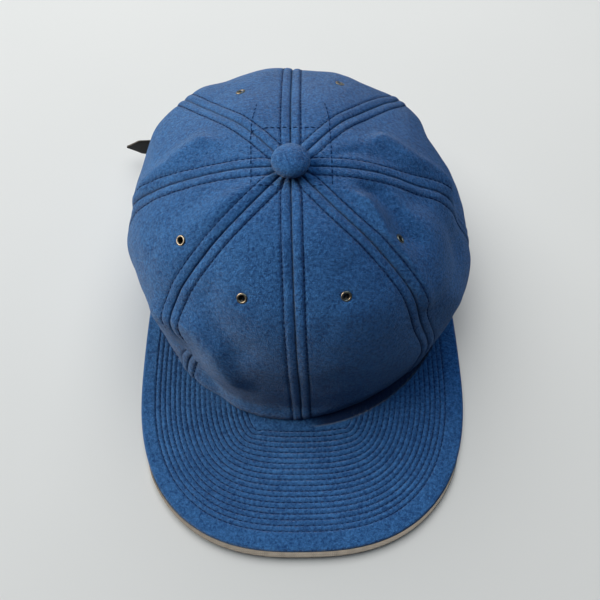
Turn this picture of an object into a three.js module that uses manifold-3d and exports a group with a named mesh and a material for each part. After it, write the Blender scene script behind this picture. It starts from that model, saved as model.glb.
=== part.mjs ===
// A soft wool cap with eight crown panels, a flat brim and a leather strap at the back.
// Millimetres, +Z up. The brim points along -Y and the strap crosses the back at +Y.
import * as THREE from 'three';
import { mergeVertices } from 'three/addons/utils/BufferGeometryUtils.js';
import Module from 'manifold-3d';

// Head opening, measured at the lower edge of the crown from its middle
const rimHalfWidth = 89.5;
const rimFront = 99;
const rimBack = 97;

// Crown
const crownHeight = 111;
const crownWall = 2.0;
const hemWall = 2.8;
const hemHeight = 27;
const hemStep = 3;
const panelCount = 8;
const panelGap = 0.3;
const panelPuff = 2.0;
const buttonShiftX = -3.8;
const buttonShiftY = -1;

// Button
const buttonRadius = 9;
const buttonHeight = 9.8;
const buttonEdgeHeight = 4.6;
const buttonFootRadius = 7.65;
const buttonPostRadius = 1.6;
const buttonPostLength = 7;
const crownHoleRadius = 2.6;

// Eyelets
const eyeletRadius = 2.7;
const eyeletBoreRadius = 1.4;
const eyeletMetal = 0.5;
const eyeletFlange = 0.6;
const eyeletTopRadius = 2.3;
const eyeletSeat = 0.7;

// Brim
const brimHalfWidth = 92.3;
const brimLength = 69.6;
const brimCornerForward = 68;
const brimEndForward = 27;
const brimBoard = 3.1;
const brimCloth = 1.6;
const brimEdgeTurn = 1.2;
const brimEdgeTurnFront = 3.0;
const brimUnderRim = 3.6;
const brimEdgeRound = 0.8;
const brimEdgeSlope = 1.0;

// The brim's front is an oval of this power over this share of its edge, and the sides behind its
// corners draw in by the waist's share of the half width
const frontShare = 0.78;
const ovalPower = 2.55;
const sideWaist = 0.012;

// Strap across the back opening. The arch of the opening stands on two straight sides.
const openingHalfWidth = 42;
const openingHeight = 44;
const openingStraight = 15.4;
const strapWidth = 12.5;
const strapThickness = 1.6;
const strapRise = 6;
const strapLap = 14;
const strapPoint = 9;
const strapTailBack = 87;
const strapTailReach = 114;
const strapBendShare = 0.3;
const tabReach = 12;
const buckleLength = 5;
const buckleWall = 1.8;
const buckleSlack = 3.0;

// Air left between two pieces that touch on the real cap
const clearance = 0.3;

// Levels of the crown from its lower edge to the button. Height is a share of crownHeight, and the
// other columns are shares of the rim's reach in that direction.
const levels = [
  { height: 0.00, front: 1.000, back: 1.000, left: 1.000, right: 1.000 },
  { height: 0.14, front: 0.935, back: 1.070, left: 1.010, right: 1.060 },
  { height: 0.34, front: 0.905, back: 1.100, left: 1.000, right: 1.090 },
  { height: 0.55, front: 0.862, back: 1.090, left: 1.010, right: 0.980 },
  { height: 0.75, front: 0.735, back: 0.880, left: 0.865, right: 0.855 },
  { height: 0.89, front: 0.530, back: 0.610, left: 0.610, right: 0.605 },
  { height: 0.97, front: 0.333, back: 0.365, left: 0.355, right: 0.345 },
  { height: 1.00, front: 0.000, back: 0.000, left: 0.000, right: 0.000 },
];

// Folds and hollows of the soft cloth. around counts panels from the front seam, positive to the
// right, and up runs from 0 at the lower edge to 1 at the button. width is the fold's half width and
// rise its height, both in millimetres.
const folds = [
  { name: 'front left fold', around: [-0.98, -0.50], up: [0.45, 0.22], width: 7, rise: 5.0 },
  { name: 'front left hollow', around: [-1.02, -0.68], up: [0.31, 0.12], width: 8, rise: -4.0 },
  { name: 'left side hollow', around: [-1.55, -1.28], up: [0.40, 0.38], width: 12, rise: -2.8 },
  { name: 'left front bulge', around: [-1.35, -1.15], up: [0.84, 0.50], width: 14, rise: 2.5 },
  { name: 'left back hollow', around: [-2.35, -2.10], up: [0.47, 0.47], width: 12, rise: -1.8 },
  { name: 'left back ridge', around: [-2.50, -2.15], up: [0.80, 0.55], width: 10, rise: 2.0 },
  { name: 'back left corner', around: [-3.10, -2.75], up: [0.54, 0.50], width: 14, rise: 3.2 },
  { name: 'back left hollow', around: [-3.95, -3.45], up: [0.50, 0.50], width: 13, rise: -1.8 },
  { name: 'back right hollow', around: [3.75, 3.40], up: [0.50, 0.50], width: 12, rise: -3.2 },
  { name: 'back right corner', around: [3.00, 2.80], up: [0.49, 0.50], width: 10, rise: 2.0 },
  { name: 'right back ridge', around: [2.60, 2.32], up: [0.72, 0.57], width: 9, rise: 2.4 },
  { name: 'right back hollow', around: [2.50, 2.25], up: [0.47, 0.45], width: 12, rise: -3.2 },
  { name: 'right side hollow', around: [1.80, 1.70], up: [0.66, 0.46], width: 10, rise: -3.0 },
  { name: 'right front ridge', around: [1.55, 1.27], up: [0.80, 0.64], width: 10, rise: 2.2 },
  { name: 'right front bulge', around: [1.25, 1.35], up: [0.50, 0.36], width: 11, rise: 3.0 },
];

// Where the soft cloth has slid round the crown: at its middle the cloth lies shift panels further to
// the right, and it comes back over width panels around and over height up and down
const slide = { around: -1.0, up: 0.35, width: 0.5, height: 0.12, shift: 0.17 };

// Eyelets, placed on the crown as the folds are
const eyelets = [
  { name: 'eyelet_front_left', around: -0.46, up: 0.64 },
  { name: 'eyelet_front_right', around: 0.47, up: 0.64 },
  { name: 'eyelet_side_left', around: -1.28, up: 0.675 },
  { name: 'eyelet_side_right', around: 1.27, up: 0.675 },
  { name: 'eyelet_back_left', around: -3.4, up: 0.69 },
  { name: 'eyelet_back_right', around: 3.47, up: 0.66 },
];

// Panels, from the seam with the lower number to the next one
const panels = [
  { name: 'panel_front_right', seam: 0 },
  { name: 'panel_side_front_right', seam: 1 },
  { name: 'panel_side_back_right', seam: 2 },
  { name: 'panel_back_right', seam: 3 },
  { name: 'panel_back_left', seam: -4 },
  { name: 'panel_side_back_left', seam: -3 },
  { name: 'panel_side_front_left', seam: -2 },
  { name: 'panel_front_left', seam: -1 },
];

// How finely the surfaces are cut, and how often a search between two limits is halved
const panelColumns = 10;
const panelRows = 18;
const brimStations = 44;
const brimColumns = 3;
const openingSegments = 8;
const strapSteps = 14;
const tailSteps = 5;
const tabSteps = 6;
const domeSteps = 6;
const roundSides = 24;
const eyeletSides = 10;
const halvings = 30;

// Places around the crown between which its back lies, counted as the folds are
const backStart = 2.2;
const backEnd = 5.8;

// Steps around and up over which a direction on the crown is taken, and how far a cutting body
// reaches past what it cuts
const nearStep = 0.002;
const wideStep = 0.01;
const overcut = 1;

const wasm = await Module();
wasm.setup();

const wool = new THREE.MeshStandardMaterial({ color: 0x2f5487, roughness: 0.95, metalness: 0 });
const greyCloth = new THREE.MeshStandardMaterial({ color: 0x5c5c57, roughness: 0.9, metalness: 0 });
const leather = new THREE.MeshStandardMaterial({ color: 0x14191a, roughness: 0.5, metalness: 0 });
const metal = new THREE.MeshStandardMaterial({ color: 0x6b6459, roughness: 0.4, metalness: 1 });

const brimThickness = brimCloth + clearance + brimBoard;
const group = new THREE.Group();

function addPiece(name, geometry, material) {
  const mesh = new THREE.Mesh(geometry, material);
  mesh.name = name;
  group.add(mesh);
  return mesh;
}

// Value of one column between two levels, on a Catmull-Rom curve that is mirrored past the button
function levelValue(column, up) {
  const last = levels.length - 1;
  const sign = column === 'height' ? 1 : -1;
  const place = Math.min(Math.max(up, 0), 1) * last;
  const row = Math.min(Math.floor(place), last - 1);
  const f = place - row;
  const at = (i) => {
    if (i < 0) return 2 * levels[0][column] - levels[1][column];
    if (i > last) return sign * levels[2 * last - i][column];
    return levels[i][column];
  };
  const [a, b, c, d] = [at(row - 1), at(row), at(row + 1), at(row + 2)];
  const square = 2 * a - 5 * b + 4 * c - d;
  const cube = -a + 3 * b - 3 * c + d;
  return 0.5 * (2 * b + (c - a) * f + square * f * f + cube * f * f * f);
}

// How far the cloth has slid to the right at a place, in panels
function slidBy(around, up) {
  const across = (around - slide.around) / slide.width;
  const along = (up - slide.up) / slide.height;
  return slide.shift * Math.exp(-across * across - along * along);
}

// A point of the smooth crown, before its puffed panels and folds
function crownPoint(around, up) {
  const angle = (2 * Math.PI * (around + slidBy(around, up))) / panelCount;
  const s = Math.sin(angle);
  const c = Math.cos(angle);
  const side = levelValue(s > 0 ? 'right' : 'left', up) * rimHalfWidth;
  const ahead = c > 0 ? levelValue('front', up) * rimFront : levelValue('back', up) * rimBack;
  const height = levelValue('height', up);
  return new THREE.Vector3(
    buttonShiftX * height + side * s,
    buttonShiftY * height - ahead * c,
    crownHeight * height,
  );
}

function crownNormal(around, up) {
  const low = Math.max(up - nearStep, 0);
  const high = Math.min(up + nearStep, 1);
  const across = crownPoint(around + nearStep, up).sub(crownPoint(around - nearStep, up));
  const along = crownPoint(around, high).sub(crownPoint(around, low));
  return across.cross(along).normalize();
}

// Height of one fold at a place: a rounded ridge along the line between its two ends. Lengths are
// measured on a flat map of the crown, one panel wide and one meridian high, the short way round.
const panelWidth = (2 * Math.PI * rimHalfWidth) / panelCount;
const meridian = 1.5 * crownHeight;

function foldRise(fold, around, up) {
  const bx = (fold.around[1] - fold.around[0]) * panelWidth;
  const by = (fold.up[1] - fold.up[0]) * meridian;
  const turned = around - fold.around[0];
  const px = (turned - panelCount * Math.round(turned / panelCount)) * panelWidth;
  const py = (up - fold.up[0]) * meridian;
  const t = Math.min(Math.max((px * bx + py * by) / (bx * bx + by * by), 0), 1);
  const away = Math.hypot(px - t * bx, py - t * by) / fold.width;
  return fold.rise * Math.exp(-away * away);
}

// How far the cloth stands out of the smooth crown: puffed between seams, with its folds
function relief(around, up) {
  const w = around - Math.floor(around);
  const puff = panelPuff * 4 * w * (1 - w) * Math.sin(Math.PI * Math.min(up, 1));
  const place = around + slidBy(around, up);
  return folds.reduce((sum, fold) => sum + foldRise(fold, place, up), puff);
}

function clothPoint(around, up, depth) {
  const lift = relief(around, up) - depth;
  return crownPoint(around, up).addScaledVector(crownNormal(around, up), lift);
}

// Thickness of the wall: the hem is folded up inside the lower edge
function wallAt(up) {
  const z = levelValue('height', up) * crownHeight;
  const t = Math.min(Math.max((hemHeight - z) / hemStep, 0), 1);
  return crownWall + (hemWall - crownWall) * t;
}

// The share of the way up where the panels end, round the button's post
function panelTop() {
  let low = 0.5;
  let high = 1;
  for (let i = 0; i < halvings; i += 1) {
    const middle = (low + high) / 2;
    const reach = levelValue('left', middle) * rimHalfWidth;
    if (reach > crownHoleRadius) low = middle;
    else high = middle;
  }
  return low;
}

// A closed body between two grids of points, the first one outside. Both are lists of rows.
function sheetBody(outer, inner) {
  const rows = outer.length;
  const columns = outer[0].length;
  const positions = [];
  [outer, inner].forEach((grid) => grid.forEach((row) => row.forEach((p) => {
    positions.push(p.x, p.y, p.z);
  })));
  const id = (layer, i, j) => (layer * rows + i) * columns + j;
  const faces = [];
  const quad = (a, b, c, d) => faces.push(a, b, c, a, c, d);
  for (let i = 0; i < rows - 1; i += 1) {
    for (let j = 0; j < columns - 1; j += 1) {
      quad(id(0, i, j), id(0, i, j + 1), id(0, i + 1, j + 1), id(0, i + 1, j));
      quad(id(1, i, j), id(1, i + 1, j), id(1, i + 1, j + 1), id(1, i, j + 1));
    }
    const end = columns - 1;
    quad(id(0, i, 0), id(0, i + 1, 0), id(1, i + 1, 0), id(1, i, 0));
    quad(id(0, i, end), id(1, i, end), id(1, i + 1, end), id(0, i + 1, end));
  }
  for (let j = 0; j < columns - 1; j += 1) {
    const top = rows - 1;
    quad(id(0, 0, j), id(1, 0, j), id(1, 0, j + 1), id(0, 0, j + 1));
    quad(id(0, top, j), id(0, top, j + 1), id(1, top, j + 1), id(1, top, j));
  }
  const geometry = new THREE.BufferGeometry();
  geometry.setAttribute('position', new THREE.Float32BufferAttribute(positions, 3));
  geometry.setIndex(faces);
  return geometry;
}

// A closed body through a row of equal loops, each one convex or nearly so, with flat ends
function loopBody(loops) {
  const count = loops[0].length;
  const positions = loops.flat().flatMap((p) => [p.x, p.y, p.z]);
  const faces = [];
  for (let i = 0; i < loops.length - 1; i += 1) {
    for (let j = 0; j < count; j += 1) {
      const k = (j + 1) % count;
      const a = i * count + j;
      const b = i * count + k;
      faces.push(a, b, b + count, a, b + count, a + count);
    }
  }
  const outline = loops.map((loop) => THREE.ShapeUtils.triangulateShape(flatten(loop), []));
  outline[0].forEach(([a, b, c]) => faces.push(a, c, b));
  const shift = (loops.length - 1) * count;
  outline[loops.length - 1].forEach(([a, b, c]) => faces.push(a + shift, b + shift, c + shift));
  const geometry = new THREE.BufferGeometry();
  geometry.setAttribute('position', new THREE.Float32BufferAttribute(positions, 3));
  geometry.setIndex(faces);
  return geometry;
}

// The loop seen along its own normal, as two-dimensional points in the same turning direction
function flatten(loop) {
  const normal = new THREE.Vector3();
  loop.forEach((p, i) => normal.add(p.clone().cross(loop[(i + 1) % loop.length])));
  normal.normalize();
  const across = new THREE.Vector3(0, 0, 1).cross(normal);
  if (across.lengthSq() < 1e-6) across.set(1, 0, 0);
  across.normalize();
  const upward = normal.clone().cross(across);
  return loop.map((p) => new THREE.Vector2(p.dot(across), p.dot(upward)));
}

function toSolid(geometry) {
  const bare = geometry.clone();
  bare.deleteAttribute('normal');
  bare.deleteAttribute('uv');
  const merged = mergeVertices(bare, 1e-4);
  return new wasm.Manifold(new wasm.Mesh({
    numProp: 3,
    vertProperties: new Float32Array(merged.attributes.position.array),
    triVerts: new Uint32Array(merged.index.array),
  }));
}

function toGeometry(solid) {
  const mesh = solid.getMesh();
  const geometry = new THREE.BufferGeometry();
  geometry.setAttribute('position', new THREE.BufferAttribute(new Float32Array(mesh.vertProperties), 3));
  geometry.setIndex(new THREE.BufferAttribute(new Uint32Array(mesh.triVerts), 1));
  return geometry;
}

// The brim's outer edge. turn runs from -1 at its left end over 0 at the front to 1 at its right end.
// Its front is a rounded oval, and behind its corners the sides run back under the crown.
function brimEdge(turn) {
  const side = Math.sign(turn);
  const share = Math.abs(turn) / frontShare;
  if (share <= 1) {
    const angle = (share * Math.PI) / 2;
    const reach = rimFront + brimLength - brimCornerForward;
    const x = brimHalfWidth * Math.sin(angle) ** (2 / ovalPower);
    const y = reach * Math.cos(angle) ** (2 / ovalPower);
    return new THREE.Vector2(side * x, -brimCornerForward - y);
  }
  const back = (Math.abs(turn) - frontShare) / (1 - frontShare);
  const x = brimHalfWidth * (1 - sideWaist * back * back);
  const y = brimCornerForward + (brimEndForward - brimCornerForward) * back;
  return new THREE.Vector2(side * x, -y);
}

// The brim's inner edge, under the rim of the crown
function brimInner(turn, inset) {
  const halfWidth = rimHalfWidth - hemWall - brimUnderRim - inset;
  const reach = rimFront - hemWall - brimUnderRim - inset;
  const endAngle = Math.acos(brimEndForward / reach);
  const angle = turn * endAngle;
  return new THREE.Vector2(halfWidth * Math.sin(angle), -reach * Math.cos(angle));
}

// A place on the brim that lies a given distance inside its outer edge
function brimFromEdge(turn, distance) {
  const edge = brimEdge(turn);
  const way = brimInner(turn, 0).sub(edge).normalize();
  return edge.clone().addScaledVector(way, distance);
}

// Width of the grey cloth that shows round the brim's edge
function edgeTurnAt(turn) {
  const front = Math.max(Math.cos((Math.min(Math.abs(turn) / frontShare, 1) * Math.PI) / 2), 0);
  return brimEdgeTurn + (brimEdgeTurnFront - brimEdgeTurn) * front * front;
}

function brimTurns() {
  return Array.from({ length: brimStations + 1 }, (_, i) => -1 + (2 * i) / brimStations);
}

function at(place, z) {
  return new THREE.Vector3(place.x, place.y, z);
}

// Wool face and board: a flat slab with a rounded outer edge, inside the turned-up grey edge
function brimTopGeometry() {
  const low = brimCloth + clearance;
  return loopBody(brimTurns().map((turn) => {
    const edge = edgeTurnAt(turn) + clearance;
    const stop = brimFromEdge(turn, edge + brimEdgeRound);
    const top = Array.from({ length: brimColumns + 1 }, (_, i) => (
      at(brimInner(turn, 0).lerp(stop, i / brimColumns), brimThickness)
    ));
    return [
      at(brimInner(turn, 0), low),
      ...top,
      at(brimFromEdge(turn, edge), brimThickness - brimEdgeRound),
      at(brimFromEdge(turn, edge), low),
    ];
  }));
}

// Grey cloth: the underside, with its turned-up outer edge
function brimUndersideGeometry() {
  return loopBody(brimTurns().map((turn) => {
    const lip = edgeTurnAt(turn);
    return [
      at(brimInner(turn, 0), 0),
      at(brimInner(turn, 0), brimCloth),
      at(brimFromEdge(turn, lip), brimCloth),
      at(brimFromEdge(turn, lip), brimThickness - brimEdgeRound),
      at(brimFromEdge(turn, brimEdgeRound), brimThickness - brimEdgeRound),
      at(brimFromEdge(turn, 0), brimThickness - brimEdgeRound - brimEdgeSlope),
      at(brimFromEdge(turn, 0), brimEdgeRound),
      at(brimFromEdge(turn, brimEdgeRound), 0),
    ];
  }));
}

// The room that the brim takes out of the crown's lower edge
function brimRoom() {
  return toSolid(loopBody(brimTurns().map((turn) => {
    const end = Math.abs(turn) === 1 ? clearance : 0;
    const inner = brimInner(turn, clearance);
    const outer = brimFromEdge(turn, -clearance);
    inner.y += end;
    outer.y += end;
    return [
      at(inner, -overcut),
      at(inner, brimThickness + clearance),
      at(outer, brimThickness + clearance),
      at(outer, -overcut),
    ];
  })));
}

// The arch cut out of the two back panels
function openingRoom() {
  const shape = new THREE.Shape();
  const archHeight = openingHeight - openingStraight;
  shape.moveTo(-openingHalfWidth, -overcut);
  shape.lineTo(openingHalfWidth, -overcut);
  shape.lineTo(openingHalfWidth, openingStraight);
  shape.absellipse(0, openingStraight, openingHalfWidth, archHeight, 0, Math.PI, false, 0);
  shape.lineTo(-openingHalfWidth, -overcut);
  const geometry = new THREE.ExtrudeGeometry(shape, {
    depth: rimBack,
    bevelEnabled: false,
    curveSegments: openingSegments,
  });
  geometry.rotateX(Math.PI / 2);
  geometry.translate(0, rimBack * 1.5, 0);
  return toSolid(geometry);
}

function panelGeometry(seam) {
  const top = panelTop();
  const outer = [];
  const inner = [];
  for (let i = 0; i <= panelRows; i += 1) {
    const up = (top * i) / panelRows;
    const arc = crownPoint(seam, up).distanceTo(crownPoint(seam + 1, up));
    const trim = panelGap / 2 / arc;
    const outerRow = [];
    const innerRow = [];
    for (let j = 0; j <= panelColumns; j += 1) {
      const across = trim + ((1 - 2 * trim) * j) / panelColumns;
      const face = clothPoint(seam + across, up, 0);
      const back = clothPoint(seam + across, up, wallAt(up));
      if (i === 0) {
        face.z = 0;
        back.z = 0;
      }
      outerRow.push(face);
      innerRow.push(back);
    }
    outer.push(outerRow);
    inner.push(innerRow);
  }
  return sheetBody(outer, inner);
}

// Turns a body made round the z axis so that it stands on the crown's cloth
function standOnCrown(geometry, around, up) {
  const across = clothPoint(around + wideStep, up, 0).sub(clothPoint(around - wideStep, up, 0));
  const along = clothPoint(around, up + wideStep, 0).sub(clothPoint(around, up - wideStep, 0));
  const normal = across.cross(along).normalize();
  const turn = new THREE.Quaternion().setFromUnitVectors(new THREE.Vector3(0, 0, 1), normal);
  const foot = clothPoint(around, up, 0);
  geometry.applyQuaternion(turn);
  geometry.translate(foot.x, foot.y, foot.z);
  return geometry;
}

function latheBody(profile, sides) {
  const geometry = new THREE.LatheGeometry(profile.map(([r, z]) => new THREE.Vector2(r, z)), sides);
  geometry.rotateX(Math.PI / 2);
  return geometry;
}

function eyeletHole(eyelet) {
  const hole = eyeletBoreRadius + eyeletMetal + clearance;
  const drill = new THREE.CylinderGeometry(hole, hole, 6 * crownWall, eyeletSides);
  drill.rotateX(Math.PI / 2);
  return toSolid(standOnCrown(drill, eyelet.around, eyelet.up));
}

function eyeletGeometry(eyelet) {
  const barrel = eyeletBoreRadius + eyeletMetal;
  const low = -crownWall - eyeletSeat;
  const profile = [
    [eyeletBoreRadius, low - eyeletFlange],
    [eyeletRadius, low - eyeletFlange],
    [eyeletRadius, low],
    [barrel, low],
    [barrel, eyeletSeat],
    [eyeletRadius, eyeletSeat],
    [eyeletTopRadius, eyeletSeat + eyeletFlange],
    [barrel, eyeletSeat + eyeletFlange],
    [eyeletBoreRadius, eyeletSeat],
    [eyeletBoreRadius, low - eyeletFlange],
  ];
  return standOnCrown(latheBody(profile, eyeletSides), eyelet.around, eyelet.up);
}

// Covered button: a full dome, rolled in under its edge, on a plain post
function buttonGeometry() {
  const base = crownHeight + clearance;
  const rise = buttonHeight - buttonEdgeHeight;
  const dome = Array.from({ length: domeSteps + 1 }, (_, i) => {
    const angle = (Math.PI / 2) * (i / domeSteps);
    return [buttonRadius * Math.cos(angle), base + buttonEdgeHeight + rise * Math.sin(angle)];
  });
  const profile = [
    [0, base - buttonPostLength],
    [buttonPostRadius, base - buttonPostLength],
    [buttonPostRadius, base],
    [buttonFootRadius, base],
    ...dome,
  ];
  const geometry = latheBody(profile, roundSides);
  geometry.translate(buttonShiftX, buttonShiftY, 0);
  return geometry;
}

// Where the outside of the crown's cloth lies at one height, seen from above
function crownAtHeight(around, z) {
  let low = 0;
  let high = 0.5;
  for (let i = 0; i < halvings; i += 1) {
    const middle = (low + high) / 2;
    if (crownPoint(around, middle).z < z) low = middle;
    else high = middle;
  }
  const point = clothPoint(around, low, 0);
  return new THREE.Vector2(point.x, point.y);
}

// Places along the outside of the crown's back, a given distance off the cloth, from one x to another
function backRoute(fromX, toX, off, steps, z) {
  const places = [];
  for (let i = 0; i <= steps; i += 1) {
    const x = fromX + ((toX - fromX) * i) / steps;
    let low = backStart;
    let high = backEnd;
    for (let k = 0; k < halvings; k += 1) {
      const middle = (low + high) / 2;
      if (crownAtHeight(middle, z).x > x) low = middle;
      else high = middle;
    }
    const here = crownAtHeight(low, z);
    const way = crownAtHeight(low + wideStep, z).sub(here).normalize();
    places.push(new THREE.Vector2(here.x + way.y * off, here.y - way.x * off));
  }
  return places;
}

// How far the middle of the strap and of its tab stand off the cloth, and where the buckle sits
const strapTop = strapRise + strapWidth;
const strapOff = 3 * clearance + strapThickness * 1.5;
const tabOff = 2 * clearance + strapThickness / 2;
const buckleX = -openingHalfWidth + tabReach / 2;

// A band on edge between a lower and an upper route. narrow draws its two edges together at each step.
function bandGeometry(lowRoute, highRoute, thickness, narrow) {
  const sideOf = (route, i) => {
    const before = route[Math.max(i - 1, 0)];
    const after = route[Math.min(i + 1, route.length - 1)];
    const way = after.clone().sub(before).normalize();
    return new THREE.Vector3(-way.y, way.x, 0).multiplyScalar(thickness / 2);
  };
  return loopBody(lowRoute.map((place, i) => {
    const low = new THREE.Vector3(place.x, place.y, strapRise);
    const high = new THREE.Vector3(highRoute[i].x, highRoute[i].y, strapTop);
    const middle = low.clone().lerp(high, 0.5);
    low.lerp(middle, narrow[i]);
    high.lerp(middle, narrow[i]);
    const lowSide = sideOf(lowRoute, i);
    const highSide = sideOf(highRoute, i);
    return [
      low.clone().sub(lowSide),
      low.clone().add(lowSide),
      high.clone().add(highSide),
      high.clone().sub(highSide),
    ];
  }));
}

// One edge of the strap: along the outside of the crown, then standing free to the tip
function strapRoute(z) {
  const held = backRoute(openingHalfWidth + strapLap, buckleX - buckleLength, strapOff, strapSteps, z);
  const last = held[held.length - 1];
  const tip = new THREE.Vector2(-strapTailReach, strapTailBack);
  const tailLength = tip.distanceTo(last);
  const start = last.clone().sub(held[held.length - 2]).normalize();
  const bend = last.clone().addScaledVector(start, tailLength * strapBendShare);
  const curve = new THREE.QuadraticBezierCurve(last, bend, tip);
  const pointShare = 1 - strapPoint / tailLength;
  const tail = Array.from({ length: tailSteps }, (_, i) => (
    curve.getPoint((pointShare * (i + 1)) / tailSteps)
  ));
  return [...held, ...tail, tip];
}

function strapGeometry() {
  const low = strapRoute(strapRise);
  const high = strapRoute(strapTop);
  const narrow = low.map((_, i) => (i === low.length - 1 ? 1 - strapThickness / strapWidth : 0));
  return bandGeometry(low, high, strapThickness, narrow);
}

function tabGeometry() {
  const free = -openingHalfWidth + tabReach;
  const edge = (z) => backRoute(free, -openingHalfWidth - strapLap, tabOff, tabSteps, z);
  const low = edge(strapRise);
  return bandGeometry(low, edge(strapTop), strapThickness, low.map(() => 0));
}

// A plain metal loop round the strap and its tab
function buckleGeometry() {
  const off = (strapOff + tabOff) / 2;
  const halfLength = buckleLength / 2;
  const places = [strapRise, strapTop].map((z) => {
    const [a, b] = backRoute(buckleX + halfLength, buckleX - halfLength, off, 1, z);
    return { centre: at(a.clone().lerp(b, 0.5), z), way: at(b.clone().sub(a), 0) };
  });
  const innerWidth = strapOff - tabOff + strapThickness + 2 * clearance;
  const innerHeight = strapWidth + buckleSlack;
  const rectangle = (target, w, h) => {
    target.moveTo(-w / 2, -h / 2);
    target.lineTo(w / 2, -h / 2);
    target.lineTo(w / 2, h / 2);
    target.lineTo(-w / 2, h / 2);
    target.closePath();
    return target;
  };
  const shape = rectangle(new THREE.Shape(), innerWidth + 2 * buckleWall, innerHeight + 2 * buckleWall);
  shape.holes.push(rectangle(new THREE.Path(), innerWidth, innerHeight));
  const geometry = new THREE.ExtrudeGeometry(shape, { depth: buckleLength, bevelEnabled: false });
  geometry.translate(0, 0, -halfLength);
  const upward = places[1].centre.clone().sub(places[0].centre).normalize();
  const across = upward.clone().cross(places[0].way).normalize();
  const forward = across.clone().cross(upward);
  geometry.applyMatrix4(new THREE.Matrix4().makeBasis(across, upward, forward));
  const centre = places[0].centre.clone().lerp(places[1].centre, 0.5);
  geometry.translate(centre.x, centre.y, centre.z);
  return geometry;
}

const brimCut = brimRoom();
const openingCut = openingRoom();

panels.forEach(({ name, seam }) => {
  let solid = toSolid(panelGeometry(seam));
  solid = solid.subtract(brimCut).subtract(openingCut);
  eyelets.filter((eyelet) => Math.floor(eyelet.around) === seam).forEach((eyelet) => {
    solid = solid.subtract(eyeletHole(eyelet));
  });
  addPiece(name, toGeometry(solid), wool);
});
addPiece('button', buttonGeometry(), wool);
eyelets.forEach((eyelet) => addPiece(eyelet.name, eyeletGeometry(eyelet), metal));
addPiece('brim_top', brimTopGeometry(), wool);
addPiece('brim_underside', brimUndersideGeometry(), greyCloth);
addPiece('strap', strapGeometry(), leather);
addPiece('strap_tab', tabGeometry(), leather);
addPiece('buckle', buckleGeometry(), metal);

// The origin is the middle of the cap's footprint, on the surface it lies on
const box = new THREE.Box3().setFromObject(group);
const middle = box.getCenter(new THREE.Vector3());
group.position.set(-middle.x, -middle.y, 0);
group.updateMatrixWorld(true);

export default group;
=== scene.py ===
import math

import bpy
import numpy as np
from mathutils import Matrix, Vector


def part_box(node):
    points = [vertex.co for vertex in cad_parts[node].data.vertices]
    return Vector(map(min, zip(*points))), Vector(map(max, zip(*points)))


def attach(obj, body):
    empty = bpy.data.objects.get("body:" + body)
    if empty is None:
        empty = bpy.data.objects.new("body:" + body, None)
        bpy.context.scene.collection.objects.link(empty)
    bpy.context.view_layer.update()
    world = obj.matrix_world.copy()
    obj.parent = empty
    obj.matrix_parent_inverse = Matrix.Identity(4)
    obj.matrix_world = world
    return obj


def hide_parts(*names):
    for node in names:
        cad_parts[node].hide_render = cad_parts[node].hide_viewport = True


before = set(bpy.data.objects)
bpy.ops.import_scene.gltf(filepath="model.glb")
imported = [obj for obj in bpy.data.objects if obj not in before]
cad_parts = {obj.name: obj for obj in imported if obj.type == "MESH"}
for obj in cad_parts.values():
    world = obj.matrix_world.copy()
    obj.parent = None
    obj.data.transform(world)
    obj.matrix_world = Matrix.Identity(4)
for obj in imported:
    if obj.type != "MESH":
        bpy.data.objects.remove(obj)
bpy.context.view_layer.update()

# Crown panels
# Eight gores of soft brushed wool, sewn edge to edge and lying on a table, so that they fold a little.
# Each seam is pressed open and stitched down on both sides, which puffs the cloth up between the lines.
MM = 0.001
RIM_HALF_WIDTH = 89.5
RIM_FRONT = 99.0
RIM_BACK = 97.0
CROWN_HEIGHT = 111.0
BUTTON_SHIFT = (-3.8, -1.0)
PANEL_COUNT = 8
PANEL_PUFF = 2.0
PANEL_TOP = 0.9922
PANEL_WIDTH = 2 * math.pi * RIM_HALF_WIDTH / PANEL_COUNT
MERIDIAN = 1.5 * CROWN_HEIGHT
CROWN_WALL = 2.0
HEM_WALL = 2.8
HEM_HEIGHT = 27.0
BRIM_REACH = 168.6
BRIM_END = 27.0
BRIM_THICKNESS = 5.0
BRIM_GAP = 0.3
OPENING_HALF_WIDTH = 42.0
OPENING_HEIGHT = 44.0
OPENING_STRAIGHT = 15.4
TOPSTITCH = 5.0
HEM_STITCH = 6.0
HEM_DEPTH = 0.5
STITCH_PITCH = 3.0
SEAM_PUFF = 0.60
SEAM_DEPTH = 0.50
SEAM_BELL = 0.42
LINE_DEPTH = 0.45
LINE_BELL = 0.7
LINE_PUCKER = 0.35
PANEL_ROWS = 170
PANEL_COLUMNS = 76
RIM_ROLL = 2.8
ROLL_HEIGHT = 9.5
ROLL_BELL = 4.5
RIM_TUCK = 3.4
TUCK_BELL = 7
TURNING_WALL = 0.7
TURNING_WIDTH = 7.5
EDGE_ROUND = 1.2
EYELET_HOLE = 2.0
DIMPLE_DEPTH = 0.9
DIMPLE_BELL = 3.6
SOFT_WAVES = 24

CROWN_LEVELS = {
    "height": [0.00, 0.14, 0.34, 0.55, 0.75, 0.89, 0.97, 1.00],
    "front": [1.000, 0.935, 0.905, 0.862, 0.735, 0.530, 0.333, 0.000],
    "back": [1.000, 1.070, 1.100, 1.090, 0.880, 0.610, 0.365, 0.000],
    "left": [1.000, 1.010, 1.000, 1.010, 0.865, 0.610, 0.355, 0.000],
    "right": [1.000, 1.060, 1.090, 0.980, 0.855, 0.605, 0.345, 0.000],
}

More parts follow.
